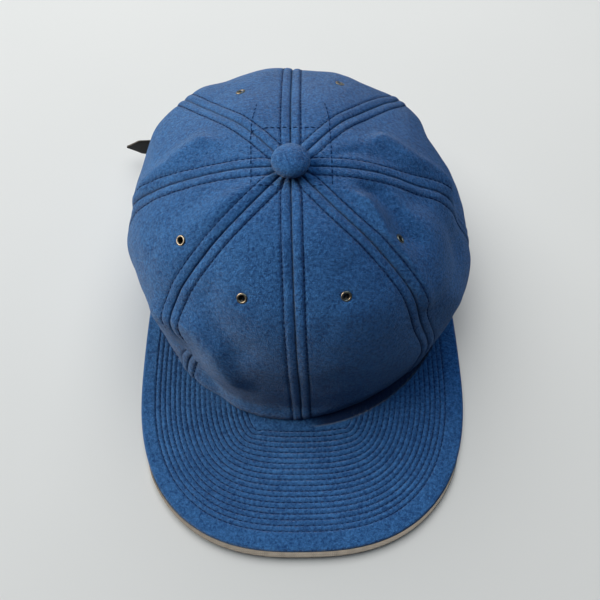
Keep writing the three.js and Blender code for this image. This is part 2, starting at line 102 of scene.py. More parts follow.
# The folds' places: around counts panels from the front seam, positive to the right, and up runs from
# the lower edge to the button
FOLDS = [
    {"name": "front left fold", "around": (-1.05, -0.75, -0.58, -0.46), "up": (0.47, 0.50, 0.46, 0.34),
     "width": 6, "below": 12, "rise": 3.8, "crest": 1.8},
    {"name": "front left dip", "around": (-0.74, -0.40), "up": (0.60, 0.48), "width": 9, "rise": -2.0},
    {"name": "front left hollow", "around": (-1.02, -0.68), "up": (0.26, 0.10), "width": 8, "rise": -3.0},
    {"name": "left side hollow", "around": (-1.55, -1.28), "up": (0.40, 0.38), "width": 12, "rise": -2.8},
    {"name": "left front bulge", "around": (-1.35, -1.15), "up": (0.84, 0.50), "width": 14, "rise": 2.5},
    {"name": "left back hollow", "around": (-2.35, -2.10), "up": (0.47, 0.47), "width": 12, "rise": -1.8},
    {"name": "left back ridge", "around": (-2.52, -2.21, -2.06), "up": (0.76, 0.68, 0.55),
     "width": 7, "rise": 3.4, "crest": 1.7},
    {"name": "back left corner", "around": (-3.10, -2.75), "up": (0.54, 0.50), "width": 14, "rise": 3.2},
    {"name": "back left hollow", "around": (-3.95, -3.45), "up": (0.50, 0.50), "width": 13, "rise": -1.8},
    {"name": "back right hollow", "around": (3.75, 3.40), "up": (0.50, 0.50), "width": 12, "rise": -3.2},
    {"name": "back right corner", "around": (3.00, 2.80), "up": (0.49, 0.50), "width": 10, "rise": 2.0},
    {"name": "right back ridge", "around": (2.50, 2.23, 2.11), "up": (0.76, 0.675, 0.55),
     "width": 6, "rise": 3.6, "crest": 1.7},
    {"name": "right top hollow", "around": (2.36, 2.04), "up": (0.86, 0.67), "width": 7, "rise": -1.4},
    {"name": "right back hollow", "around": (2.50, 2.25), "up": (0.47, 0.45), "width": 12, "rise": -3.2},
    {"name": "right side hollow", "around": (1.80, 1.70), "up": (0.66, 0.46), "width": 10, "rise": -3.0},
    {"name": "right front ridge", "around": (1.44, 1.18, 1.08), "up": (0.82, 0.72, 0.50),
     "width": 5, "rise": 3.0, "crest": 1.7},
    {"name": "right front hollow", "around": (1.68, 1.38), "up": (0.80, 0.66), "width": 8, "rise": -4.0},
    {"name": "right front bulge", "around": (1.25, 1.35), "up": (0.50, 0.36), "width": 11, "rise": 3.0},
]
SLIDE = {"around": -1.0, "up": 0.35, "width": 0.5, "height": 0.12, "shift": 0.17}

# Places of the eyelets, counted as the folds' are; each sits in a small dimple
EYELETS = {
    "eyelet_front_left": (-0.46, 0.64),
    "eyelet_front_right": (0.47, 0.64),
    "eyelet_side_left": (-1.28, 0.675),
    "eyelet_side_right": (1.27, 0.675),
    "eyelet_back_left": (-3.4, 0.69),
    "eyelet_back_right": (3.47, 0.66),
}

PANELS = {
    "panel_front_right": 0,
    "panel_side_front_right": 1,
    "panel_side_back_right": 2,
    "panel_back_right": 3,
    "panel_back_left": -4,
    "panel_side_back_left": -3,
    "panel_side_front_left": -2,
    "panel_front_left": -1,
}

under_low, under_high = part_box("brim_underside")
cap_middle = np.array([(under_low.x + under_high.x) / 2, under_low.y + BRIM_REACH * MM, 0.0])


def level(column, up):
    """One column of the crown's levels at the share up: a Catmull-Rom curve through the rows, mirrored
    past the button so that the top comes out round."""
    rows = np.array(CROWN_LEVELS[column])
    sign = 1 if column == "height" else -1
    rows = np.concatenate([[2 * rows[0] - rows[1]], rows, [sign * rows[-2]]])
    last = len(rows) - 3
    place = np.clip(up, 0, 1) * last
    row = np.minimum(place.astype(int), last - 1)
    f = place - row
    a, b, c, d = rows[row], rows[row + 1], rows[row + 2], rows[row + 3]
    low_terms = 2 * b + (c - a) * f + (2 * a - 5 * b + 4 * c - d) * f**2
    return 0.5 * (low_terms + (3 * b - a - 3 * c + d) * f**3)


def slid(around, up):
    """The place round the crown where the cloth lies: near the front left seam it has slid to the right,
    by a bell curve in both directions."""
    across = (around - SLIDE["around"]) / SLIDE["width"]
    along = (up - SLIDE["up"]) / SLIDE["height"]
    return around + SLIDE["shift"] * np.exp(-(across**2) - along**2)


def crown_point(around, up):
    """The smooth crown: at each height an oval whose four reaches come from the levels, with its middle
    moving from the rim's middle to the button."""
    around, up = np.broadcast_arrays(np.asarray(around, float), np.asarray(up, float))
    angle = 2 * math.pi * slid(around, up) / PANEL_COUNT
    s, c = np.sin(angle), np.cos(angle)
    side = RIM_HALF_WIDTH * np.where(s > 0, level("right", up), level("left", up))
    ahead = np.where(c > 0, RIM_FRONT * level("front", up), RIM_BACK * level("back", up))
    height = level("height", up)
    x = BUTTON_SHIFT[0] * height + side * s
    y = BUTTON_SHIFT[1] * height - ahead * c
    return np.stack([x, y, CROWN_HEIGHT * height], -1)


def unit(vectors):
    """Vectors divided by their lengths."""
    return vectors / np.maximum(np.linalg.norm(vectors, axis=-1, keepdims=True), 1e-9)


def crown_normal(around, up):
    """The outward normal of the smooth crown, from steps across and along it."""
    step = 0.002
    across = crown_point(around + step, up) - crown_point(around - step, up)
    along = crown_point(around, np.minimum(up + step, 1)) - crown_point(around, np.maximum(up - step, 0))
    return unit(np.cross(across, along))


def panel_span(around, up):
    """Width of one panel in mm at a place: how fast the crown moves per panel."""
    step = 0.01
    across = crown_point(around + step, up) - crown_point(around - step, up)
    return np.linalg.norm(across, axis=-1) / (2 * step)


def smooth_step(value):
    """An even rise from 0 to 1 without corners."""
    value = np.clip(value, 0, 1)
    return value * value * (3 - 2 * value)


def fold_rise(fold, around, up):
    """A rounded ridge: a bell curve of the distance to the broken line through the fold's places, which
    may fall off more steeply below that line. Places round the crown are taken the short way."""
    nearest = np.full(np.broadcast(around, up).shape, np.inf)
    for k in range(len(fold["up"]) - 1):
        turned = around - fold["around"][k]
        px = (turned - PANEL_COUNT * np.round(turned / PANEL_COUNT)) * PANEL_WIDTH
        py = (up - fold["up"][k]) * MERIDIAN
        bx = (fold["around"][k + 1] - fold["around"][k]) * PANEL_WIDTH
        by = (fold["up"][k + 1] - fold["up"][k]) * MERIDIAN
        t = np.clip((px * bx + py * by) / (bx * bx + by * by), 0, 1)
        away = np.maximum(np.hypot(px - t * bx, py - t * by), 1e-6)
        lower = (by * px - bx * py) * np.sign(bx) / np.hypot(bx, by) / away
        below = fold.get("below", fold["width"]) - fold["width"]
        nearest = np.minimum(nearest, away / (fold["width"] + below * smooth_step((1 + lower) / 2)))
    return fold["rise"] * np.exp(-(nearest ** fold.get("crest", 2)))


def puffed_folds(around, up):
    """How far the cloth's puff and folds stand out of the smooth crown, without any stitching."""
    w = around - np.floor(around)
    total = PANEL_PUFF * 4 * w * (1 - w) * np.sin(math.pi * np.minimum(up, 1))
    for fold in FOLDS:
        total = total + fold_rise(fold, slid(around, up), up)
    return total


def softness(points, seed, wavelength):
    """Smooth unevenness, mostly from -1 to 1: a sum of waves of about one length in seeded directions."""
    draw = np.random.default_rng(seed)
    ways = unit(draw.normal(size=(SOFT_WAVES, 3))) * (2 * math.pi / wavelength)
    ways *= draw.uniform(0.7, 1.3, (SOFT_WAVES, 1))
    phases = draw.uniform(0, 2 * math.pi, SOFT_WAVES)
    waves = np.cos(points @ ways.T + phases)
    return waves.sum(-1) / math.sqrt(SOFT_WAVES)


def seam_distance(around, up):
    """Distance in mm from the nearest seam, measured across the panel."""
    w = around - np.floor(around)
    return np.minimum(w, 1 - w) * panel_span(around, up)


def topstitch_offset(around, up):
    """How far the topstitch runs from its seam: a set distance, or less where panels get narrow."""
    return np.minimum(TOPSTITCH, 0.47 * panel_span(around, up))


def from_eyelet(around, up, place):
    """Where the cloth lies as seen from an eyelet, in mm across and along the panel."""
    step = 0.01
    high = crown_point(np.array(place[0]), np.array(place[1] + step))
    low = crown_point(np.array(place[0]), np.array(place[1] - step))
    rise = np.linalg.norm(high - low) / (2 * step)
    return (around - place[0]) * panel_span(*place), (up - place[1]) * rise


def lower_edge(around):
    """The share up at which a panel starts: at the table, on the brim's top in front, or at the opening's
    arch at the back. It is found by halving."""
    around = np.asarray(around, float)
    low, high = np.zeros_like(around), np.full_like(around, 0.6)
    for _ in range(24):
        middle = (low + high) / 2
        p = crown_point(around, middle)
        floor = (BRIM_THICKNESS + BRIM_GAP) * (1 - smooth_step((p[..., 1] + BRIM_END) / 6))
        inside = np.clip(1 - (p[..., 0] / OPENING_HALF_WIDTH) ** 2, 0, 1)
        arch = OPENING_STRAIGHT + (OPENING_HEIGHT - OPENING_STRAIGHT) * np.sqrt(inside)
        floor = np.where((p[..., 1] > 0) & (inside > 0), arch, floor)
        under = p[..., 2] < floor
        low, high = np.where(under, middle, low), np.where(under, high, middle)
    return low


def lapped(around, up):
    """How far the front left fold laps over the seam below it, from 0 to 1."""
    across = smooth_step((0.17 - np.abs(around - SLIDE["around"])) / 0.06)
    return across * smooth_step((up - 0.21) / 0.06) * smooth_step((0.47 - up) / 0.06)


def relief(around, up):
    """How far the cloth stands out of the smooth crown: puffed panels, folds, the groove of each seam,
    the ridges between its stitch lines, the lines themselves with their puckers, the dimples round the
    eyelets, the outward roll above the brim at the front left, the tuck at the front right, and a soft
    unevenness. Where a fold laps over a seam, the seam's sewing fades."""
    total = puffed_folds(around, up)
    gap = seam_distance(around, up)
    line = topstitch_offset(around, up)
    ridge = np.where(gap < line, np.sin(math.pi * np.clip(gap / line, 0, 1)), 0)
    pucker = 1 + LINE_PUCKER * np.cos(2 * math.pi * up * MERIDIAN / STITCH_PITCH)
    sewn = SEAM_PUFF * ridge**0.7 - SEAM_DEPTH * np.exp(-((gap / SEAM_BELL) ** 2))
    sewn = sewn - LINE_DEPTH * pucker * np.exp(-(((gap - line) / LINE_BELL) ** 2))
    total = total + sewn * (1 - 0.8 * lapped(around, up))
    for place in EYELETS.values():
        dx, dy = from_eyelet(around, up, place)
        total = total - DIMPLE_DEPTH * np.exp(-(dx * dx + dy * dy) / DIMPLE_BELL**2)
    points = crown_point(around, up)
    ahead = smooth_step((1.3 - np.abs(around)) / 0.7)
    ahead = ahead * smooth_step((0.45 - around) / 0.6)
    total = total + RIM_ROLL * ahead * np.exp(-(((points[..., 2] - ROLL_HEIGHT) / ROLL_BELL) ** 2))
    tuck = np.exp(-(((around - 0.45) / 0.45) ** 2))
    total = total - RIM_TUCK * tuck * np.exp(-(((points[..., 2] - BRIM_THICKNESS) / TUCK_BELL) ** 2))
    total = total + 0.35 * softness(points, 3, 38) + 0.12 * softness(points, 4, 11)
    return total


def hem_line(around, above):
    """How strongly a place lies in the hem's stitched line, a set distance above the lower edge. In front
    the brim is sewn on there, and no line shows."""
    behind = smooth_step((np.abs(around) - 1.0) / 0.2)
    return behind * np.exp(-(((above - HEM_STITCH) / LINE_BELL) ** 2))


def cloth_point(around, up):
    """A point on the outside of the cloth."""
    return crown_point(around, up) + crown_normal(around, up) * relief(around, up)[..., None]


def quads_of(rows, columns, first=0, wrap=False):
    """Corner numbers of the quads of a grid of points, row by row. With wrap, its last column is joined
    to its first."""
    i = np.arange(rows - 1)[:, None] * columns + first
    j = np.arange(columns if wrap else columns - 1)[None, :]
    k = (j + 1) % columns
    return np.stack([i + j, i + k, i + columns + k, i + columns + j], -1).reshape(-1, 4)


def strip_of(one, other):
    """Quads between two equally long rows of corner numbers."""
    return np.stack([one[:-1], other[:-1], other[1:], one[1:]], -1)


def tube_of(rows, columns):
    """Faces of a closed bar: a grid of quads round it and one face at each end."""
    near = list(range(columns - 1, -1, -1))
    far = list(range((rows - 1) * columns, rows * columns))
    return [*quads_of(rows, columns, wrap=True).tolist(), near, far]


def make_piece(name, points, faces, material, replaced=()):
    """Puts points, in mm of the cap, and faces into a smooth mesh in the row frame, as a piece of the
    cap's one rigid body, and hides the solids it replaces."""
    mesh = bpy.data.meshes.new(name)
    mesh.from_pydata((points.reshape(-1, 3) * MM + cap_middle).tolist(), [], [list(f) for f in faces])
    mesh.validate()
    mesh.update()
    mesh.polygons.foreach_set("use_smooth", np.ones(len(mesh.polygons), bool))
    mesh.materials.append(material)
    piece = bpy.data.objects.new(name, mesh)
    bpy.context.scene.collection.objects.link(piece)
    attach(piece, "root")
    if replaced:
        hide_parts(*replaced)
    return piece


def shade_by(piece, name, values):
    """Keeps one number for each corner point of a piece, for its material to read."""
    attribute = piece.data.attributes.new(name, "FLOAT", "POINT")
    attribute.data.foreach_set("value", values.ravel().astype(np.float32))


def node(tree, kind, **values):
    """Adds a shader node and sets its sockets, or its settings where there is no socket of that name."""
    made = tree.nodes.new(kind)
    for key, value in values.items():
        if key in made.inputs:
            made.inputs[key].default_value = value
        else:
            setattr(made, key, value)
    return made


def new_material(name, finish):
    """A material with these values in its shader's sockets, the tree for its nodes, and the shader."""
    material = bpy.data.materials.new(name)
    material.use_nodes = True
    tree = material.node_tree
    shader = tree.nodes["Principled BSDF"]
    for socket, value in finish.items():
        shader.inputs[socket].default_value = value
    return material, tree, shader


def on_object(tree, *textures):
    """Lays textures on the object's own coordinates."""
    place = node(tree, "ShaderNodeTexCoord")
    for texture in textures:
        tree.links.new(place.outputs["Object"], texture.inputs["Vector"])


def colour_between(tree, share, dark, light):
    """The colour from dark to light at the share that a socket gives."""
    shade = node(tree, "ShaderNodeMix", data_type="RGBA")
    shade.inputs["A"].default_value = (*dark, 1)
    shade.inputs["B"].default_value = (*light, 1)
    tree.links.new(share, shade.inputs["Factor"])
    return shade.outputs["Result"]


def roughness_between(tree, shader, share, least, most):
    """Varies a shader's roughness from least to most with the share that a socket gives."""
    rough = node(tree, "ShaderNodeMapRange")
    rough.inputs["To Min"].default_value = least
    rough.inputs["To Max"].default_value = most
    tree.links.new(share, rough.inputs["Value"])
    tree.links.new(rough.outputs["Result"], shader.inputs["Roughness"])


def bump_by(tree, shader, height, strength, distance):
    """Makes a shader's surface uneven by the height that a socket gives."""
    bump = node(tree, "ShaderNodeBump", Strength=strength, Distance=distance)
    tree.links.new(height, bump.inputs["Height"])
    tree.links.new(bump.outputs["Normal"], shader.inputs["Normal"])


def scaled(colour, factor):
    """A colour made darker or lighter."""
    return tuple(channel * factor for channel in colour)


def wool_material(name, dark, light):
    """Brushed wool: a nap that lies in soft patches, short fibres that stand out of it, painted shade that
    darkens the cloth in the stitched grooves and in the crease beside the crown, and the pale bloom that a
    fuzzy surface has at its edges."""
    material, tree, shader = new_material(name, {
        "Roughness": 0.95,
        "Specular IOR Level": 0.15,
        "Sheen Weight": 0.16,
        "Sheen Roughness": 0.32,
        "Sheen Tint": (0.80, 0.93, 1.0, 1),
    })
    patches = node(tree, "ShaderNodeTexNoise", Scale=38.0, Detail=3.0, Roughness=0.5)
    fibres = node(tree, "ShaderNodeTexNoise", Scale=700.0, Detail=3.0, Roughness=0.7, Distortion=0.6)
    specks = node(tree, "ShaderNodeTexNoise", Scale=1900.0, Detail=2.0, Roughness=0.6)
    on_object(tree, patches, fibres, specks)
    both = node(tree, "ShaderNodeMix", data_type="FLOAT", Factor=0.86)
    tree.links.new(patches.outputs["Fac"], both.inputs["A"])
    tree.links.new(fibres.outputs["Fac"], both.inputs["B"])
    spread = node(tree, "ShaderNodeMapRange")
    spread.inputs["From Min"].default_value = 0.37
    spread.inputs["From Max"].default_value = 0.64
    tree.links.new(both.outputs["Result"], spread.inputs["Value"])
    cloth = colour_between(tree, spread.outputs["Result"], dark, light)
    # Painted shade: the number kept on each point for the grooves mixes the cloth colour towards a
    # near-black blue, in the stitched grooves and in the crease beside the crown.
    groove_shade = node(tree, "ShaderNodeAttribute", attribute_name="groove_shade")
    shaded_cloth = node(tree, "ShaderNodeMix", data_type="RGBA")
    shaded_cloth.inputs["B"].default_value = (dark[0] * 0.4, dark[1] * 0.4, dark[2] * 0.45, 1)
    tree.links.new(groove_shade.outputs["Fac"], shaded_cloth.inputs["Factor"])
    tree.links.new(cloth, shaded_cloth.inputs["A"])
    tree.links.new(shaded_cloth.outputs["Result"], shader.inputs["Base Color"])
    fuzz = node(tree, "ShaderNodeMath", operation="ADD")
    tree.links.new(fibres.outputs["Fac"], fuzz.inputs[0])
    tree.links.new(specks.outputs["Fac"], fuzz.inputs[1])
    bump_by(tree, shader, fuzz.outputs[0], 1.0, 0.0011)
    return material


wool = wool_material("blue wool", (0.004, 0.035, 0.130), (0.025, 0.110, 0.300))

# The grid's columns stand closer at the seams, and its rows closer at the lower edge
spread_columns = np.linspace(0, 1, PANEL_COLUMNS)
spread_columns = spread_columns - 0.6 * np.sin(2 * math.pi * spread_columns) / (2 * math.pi)
spread_rows = np.linspace(0, 1, PANEL_ROWS)
spread_rows = (spread_rows + 0.9 * spread_rows**2) / 1.9


def hole_walls(hole, outside, inside):
    """Quads through the cloth round each hole, one wherever a cell that is left out meets a kept one."""
    sides = [
        (hole[1:] & ~hole[:-1], (1, 0), (1, 1)),
        (hole[:-1] & ~hole[1:], (1, 1), (1, 0)),
        (hole[:, 1:] & ~hole[:, :-1], (1, 1), (0, 1)),
        (hole[:, :-1] & ~hole[:, 1:], (0, 1), (1, 1)),
    ]
    walls = []
    for edge, (a, b), (c, d) in sides:
        i, j = np.nonzero(edge)
        first, last = (i + a, j + b), (i + c, j + d)
        walls.append(np.stack([outside[first], outside[last], inside[last], inside[first]], -1))
    return np.concatenate(walls)


def panel_shell(seam):
    """One gore: a grid of the cloth's outside and one of its inside, a wall's thickness in, joined round
    all four edges. The lower edge is rolled round, and inside, the seams' turnings make it thicker. Above
    the lower edge the rows soon run even, so that none is pulled aslant beside the opening. Points within
    an eyelet's hole are pushed out to its edge, and the cells between them are left out."""
    around = (seam + spread_columns)[None, :]
    start = lower_edge(around)
    evened = np.mean([lower_edge(around + k * 0.03) for k in range(-6, 7)], axis=0)
    rows = spread_rows[:, None]
    start = start + (evened - start) * smooth_step(rows / 0.3)
    up = start + (PANEL_TOP - start) * rows
    around = np.broadcast_to(around, up.shape)
    pierced = np.zeros(up.shape, bool)
    for place in EYELETS.values():
        dx, dy = from_eyelet(around, up, place)
        away = np.maximum(np.hypot(dx, dy), 1e-6)
        push = np.where(away < EYELET_HOLE, EYELET_HOLE / away, 1)
        pierced |= away < EYELET_HOLE
        around = place[0] + (around - place[0]) * push
        up = place[1] + (up - place[1]) * push
    smooth = crown_point(around, up)
    normal = crown_normal(around, up)
    steps = np.linalg.norm(np.diff(smooth, axis=0), axis=-1)
    above = np.concatenate([np.zeros((1, PANEL_COLUMNS)), np.cumsum(steps, axis=0)])
    out = relief(around, up) - HEM_DEPTH * hem_line(around, above)
    hem = np.clip((HEM_HEIGHT - smooth[..., 2]) / 3, 0, 1)
    wall = CROWN_WALL + (HEM_WALL - CROWN_WALL) * hem
    gap = seam_distance(around, up)
    turning = TURNING_WALL * np.clip((TURNING_WIDTH - gap) / 1.5, 0, 1) * np.clip(above / 12, 0, 1)
    roll = np.clip(1 - above / EDGE_ROUND, 0, 1)
    round_in = 1.1 * (1 - np.sqrt(np.clip(1 - roll**2, 0, 1)))
    outer = smooth + normal * (out - round_in)[..., None]
    inner = smooth + normal * (relief(around, up) * 0.8 - wall - turning + round_in)[..., None]
    outer[0, :, 2] = inner[0, :, 2] = smooth[0, :, 2]
    size = PANEL_ROWS * PANEL_COLUMNS
    outside = np.arange(size).reshape(PANEL_ROWS, PANEL_COLUMNS)
    inside = outside + size
    hole = pierced[:-1, :-1] & pierced[1:, :-1] & pierced[:-1, 1:] & pierced[1:, 1:]
    kept = ~hole.ravel()
    faces = np.concatenate([
        quads_of(PANEL_ROWS, PANEL_COLUMNS)[kept],
        quads_of(PANEL_ROWS, PANEL_COLUMNS, size)[kept][:, ::-1],
        strip_of(outside[0], inside[0]),
        strip_of(inside[-1], outside[-1]),
        strip_of(inside[:, 0], outside[:, 0]),
        strip_of(outside[:, -1], inside[:, -1]),
        hole_walls(hole, outside, inside),
    ])
    line = topstitch_offset(around, up)
    # Painted shade: the cloth is darkened in each seam's groove, along the topstitch lines and along the
    # hem line, and less where the front left fold laps over the seam.
    groove_shade = 0.60 * np.exp(-((gap / 0.4) ** 2)) + 0.75 * np.exp(-(((gap - line) / 0.5) ** 2))
    groove_shade = groove_shade * (1 - 0.85 * lapped(around, up))
    groove_shade = np.clip(groove_shade + 0.45 * hem_line(around, above), 0, 1)
    used, faces = np.unique(faces, return_inverse=True)
    points = np.stack([outer, inner]).reshape(-1, 3)[used]
    return points, faces.reshape(-1, 4), np.stack([groove_shade, groove_shade * 0]).ravel()[used]


for panel_name, panel_seam in PANELS.items():
    points, faces, groove_shade = panel_shell(panel_seam)
    panel = make_piece(f"wool_{panel_name}", points, faces, wool, [panel_name])
    shade_by(panel, "groove_shade", groove_shade)

# Crown stitching
# Dark blue thread: two lines along each seam, one line round the hem, and the four short lines of the
# square that is sewn round the button. Each stitch dips into the cloth at both ends.
STITCH_LENGTH = 2.2
STITCH_RINGS = 5
STITCH_SIDES = 6
THREAD_RADIUS = 0.28
CROWN_BOX = {
    "left side": [(-20.5, 40), (-22.6, 28), (-23, 15), (-22.2, -12)],
    "left cross": [(-23.2, 20.4), (-18.5, 21.4)],
    "right side": [(13.0, 40), (15.0, 30), (15.5, 8), (15.5, -11.5)],
    "back side": [(-17, 21.8), (13.5, 22.5)],
    "front left": [(-22.2, -12), (-10.5, -11.5)],
    "front right": [(6, -12), (15.5, -11.5)],
}


def thread_material(name, colour):
    """Twisted thread: fine dark and light bands from the twist, and a low gloss."""
    material, tree, shader = new_material(name, {"Roughness": 0.8, "Specular IOR Level": 0.1})
    twist = node(tree, "ShaderNodeTexNoise", Scale=3000.0, Detail=2.0)
    on_object(tree, twist)
    shade = colour_between(tree, twist.outputs["Fac"], scaled(colour, 0.6), scaled(colour, 1.5))
    tree.links.new(shade, shader.inputs["Base Color"])
    return material


thread = thread_material("dark blue thread", (0.001, 0.012, 0.055))


def stitches_along(path, out):
    """Middles, directions and normals of the stitches along a line of points with normals, one every
    stitch pitch of its length."""
    length = np.concatenate([[0], np.cumsum(np.linalg.norm(np.diff(path, axis=0), axis=-1))])
    count = int(length[-1] // STITCH_PITCH)
    if count < 1:
        return np.zeros((0, 3, 3))
    places = (np.arange(count) + 0.5) * STITCH_PITCH
    reach = STITCH_PITCH * 0.4

    def pick(values, where):
        return np.stack([np.interp(where, length, values[:, k]) for k in range(3)], -1)

    ways = unit(pick(path, places + reach) - pick(path, places - reach))
    return np.stack([pick(path, places), ways, unit(pick(out, places))], 1)


def make_stitches(name, runs, lift):
    """Every stitch is a short tube of a few rings, bent over the cloth in an arch and narrowed to its
    ends, which are closed."""
    middle, way, out = (np.concatenate(runs)[:, k] for k in range(3))
    out = unit(out - way * (out * way).sum(-1, keepdims=True))
    side = np.cross(out, way)
    t = np.linspace(-1, 1, STITCH_RINGS)
    turn = np.arange(STITCH_SIDES) * 2 * math.pi / STITCH_SIDES
    girth = THREAD_RADIUS * np.sqrt(1 - 0.75 * t**2)
    rise = lift + 0.32 * (1 - t**2) - 0.25
    local = np.stack([
        np.broadcast_to((t * STITCH_LENGTH / 2)[:, None], (STITCH_RINGS, STITCH_SIDES)),
        girth[:, None] * np.cos(turn),
        rise[:, None] + girth[:, None] * np.sin(turn),
    ], -1).reshape(-1, 3)
    axes = np.stack([way, side, out], 1)
    points = middle[:, None] + np.einsum("pk,nkc->npc", local, axes)
    tube = quads_of(STITCH_RINGS, STITCH_SIDES, wrap=True)
    cap = np.array([[3, 2, 1, 0], [5, 4, 3, 0]])
    far_cap = cap[:, ::-1] + (STITCH_RINGS - 1) * STITCH_SIDES
    one = np.concatenate([tube, cap, far_cap])
    first = STITCH_RINGS * STITCH_SIDES * np.arange(len(middle))
    faces = (one[None] + first[:, None, None]).reshape(-1, 4)
    make_piece(name, points, faces, thread)


def seam_line(seam, side):
    """One topstitch line, from the lower edge to the button, on the given side of its seam, without the
    stitches that a fold covers."""
    start = lower_edge(np.array([seam + side * 0.07]))[0]
    up = np.linspace(start + 0.01, 0.965, 500)
    around = seam + side * topstitch_offset(seam + side * 0.05, up) / panel_span(seam + side * 0.05, up)
    path = cloth_point(around, up)
    stitches = stitches_along(path, crown_normal(around, up))
    place = np.linalg.norm(stitches[:, None, 0] - path[None], axis=-1).argmin(1)
    return stitches[lapped(around, up)[place] < 0.5]


def on_crown(x, y):
    """The place on the crown above a point of the plan: the share up by halving, the angle from the
    ratio of the two reaches there."""
    low, high = np.full_like(x, 0.5), np.ones_like(x)
    for _ in range(30):
        up = (low + high) / 2
        height = level("height", up)
        dx, dy = x - BUTTON_SHIFT[0] * height, -(y - BUTTON_SHIFT[1] * height)
        s = dx / (RIM_HALF_WIDTH * np.where(dx > 0, level("right", up), level("left", up)))
        c = dy / np.where(dy > 0, RIM_FRONT * level("front", up), RIM_BACK * level("back", up))
        outside = np.hypot(s, c) < 1
        low, high = np.where(outside, up, low), np.where(outside, high, up)
    return np.arctan2(s, c) * PANEL_COUNT / (2 * math.pi), up


runs = [seam_line(seam, side) for seam in range(-4, 4) for side in (-1, 1)]
for corners in CROWN_BOX.values():
    corners = np.array(corners, float)
    steps = np.linspace(0, len(corners) - 1, 60)
    x = np.interp(steps, np.arange(len(corners)), corners[:, 0])
    y = np.interp(steps, np.arange(len(corners)), corners[:, 1])
    around, up = on_crown(x, y)
    runs.append(stitches_along(cloth_point(around, up), crown_normal(around, up)))
hem_around = np.concatenate([np.linspace(-3.3, -1.1, 500), np.linspace(1.1, 3.3, 500)]).reshape(2, -1)
for around in hem_around:
    start = lower_edge(around)
    up = start + HEM_STITCH / (MERIDIAN * 0.68)
    runs.append(stitches_along(cloth_point(around, up), crown_normal(around, up)))
make_stitches("crown_stitching", runs, 0.18)

# Button
# A domed metal blank covered with the same wool, which is gathered in under its edge. It sits on the
# point where the eight seams meet.
BUTTON_RADIUS = 9.2
BUTTON_HEIGHT = 10.0
BUTTON_EDGE = 4.8
BUTTON_FORWARD = 0.8
BUTTON_SIDES = 72
BUTTON_RINGS = 39


def button_shell():
    """A dome from the crown's top: a quarter oval over its widest place, and below that another one that
    rolls in to its foot, with a slight gathering of the cloth near the edge. Its top is one point, which
    comes after the rings."""
    base = CROWN_HEIGHT + 0.3
    t = np.linspace(0, 1, BUTTON_RINGS + 1)[:, None]
    angle = np.linspace(0, 2 * math.pi, BUTTON_SIDES, endpoint=False)[None, :]
    bend = t * math.pi * 0.86
    reach = BUTTON_RADIUS * np.sin(bend) ** 0.9
    drop = np.where(bend < math.pi / 2, BUTTON_HEIGHT - BUTTON_EDGE, BUTTON_EDGE)
    height = base + BUTTON_EDGE + drop * np.cos(bend)
    gather = 0.10 * np.cos(16 * angle) * np.clip((t - 0.55) * 3, 0, 1)
    reach = reach + gather
    x = BUTTON_SHIFT[0] + reach * np.sin(angle)
    y = BUTTON_SHIFT[1] - BUTTON_FORWARD - reach * np.cos(angle)
    dome = np.stack([x, y, np.broadcast_to(np.maximum(height, base - 0.1), x.shape)], -1)
    points = np.concatenate([dome[1:].reshape(-1, 3), dome[:1, 0]])
    top = BUTTON_RINGS * BUTTON_SIDES
    faces = quads_of(BUTTON_RINGS, BUTTON_SIDES, wrap=True)[:, ::-1]
    ring = np.arange(BUTTON_SIDES)
    fan = np.stack([ring, np.roll(ring, -1), np.full(BUTTON_SIDES, top)], -1)
    foot = tuple(range(top - 1, top - 1 - BUTTON_SIDES, -1))
    return points, [*faces.tolist(), *fan.tolist(), foot]


points, faces = button_shell()
make_piece("wool_button", points, faces, wool, ["button"])

# Eyelets
# Six small rings of aged metal, pressed through the cloth so that air gets in. Each has a rolled
# flange outside, a barrel and a flat ring inside.
EYELET_RADIUS = 2.7
EYELET_BORE = 1.5
EYELET_SIDES = 40


def aged_metal(name, colour):
    """Dark metal, rubbed brighter in places, with fine scratches."""
    material, tree, shader = new_material(name, {"Metallic": 1.0})
    wear = node(tree, "ShaderNodeTexNoise", Scale=700.0, Detail=4.0)
    on_object(tree, wear)
    shade = colour_between(tree, wear.outputs["Fac"], scaled(colour, 0.5), scaled(colour, 1.6))
    tree.links.new(shade, shader.inputs["Base Color"])
    roughness_between(tree, shader, wear.outputs["Fac"], 0.22, 0.55)
    return material


eyelet_metal = aged_metal("eyelet metal", (0.13, 0.125, 0.105))


def eyelet_ring(around, up):
    """A closed ring: its section is a rolled flange over the cloth, the barrel through it and a flat ring
    inside, turned about the cloth's own normal."""
    roll = np.linspace(0, math.pi, 9)
    middle = (EYELET_RADIUS + EYELET_BORE) / 2
    half = (EYELET_RADIUS - EYELET_BORE) / 2
    section = np.concatenate([
        np.stack([middle + half * np.cos(roll), 0.1 + 0.6 * np.sin(roll)], -1),
        [[EYELET_BORE, -2.8], [EYELET_BORE + 0.1, -3.2], [EYELET_RADIUS, -3.2], [EYELET_RADIUS, -2.8]],
        [[EYELET_BORE + 0.3, -2.7], [EYELET_BORE + 0.3, 0.1]],
    ])
    angle = np.linspace(0, 2 * math.pi, EYELET_SIDES, endpoint=False)
    step = 0.012
    centre = cloth_point(np.array(around), np.array(up))
    across = unit(cloth_point(np.array(around + step), np.array(up)) - centre)
    along = cloth_point(np.array(around), np.array(up + step)) - centre
    out = unit(np.cross(across, along))
    along = np.cross(out, across)
    ring = np.cos(angle)[:, None] * across + np.sin(angle)[:, None] * along
    points = centre + section[None, :, :1] * ring[:, None] + section[None, :, 1:] * out
    size = len(section)
    faces = quads_of(EYELET_SIDES + 1, size, wrap=True)[:, ::-1] % (EYELET_SIDES * size)
    return points, faces


for eyelet_name, (around, up) in EYELETS.items():
    points, faces = eyelet_ring(around, up)
    make_piece(f"metal_{eyelet_name}", points, faces, eyelet_metal, [eyelet_name])

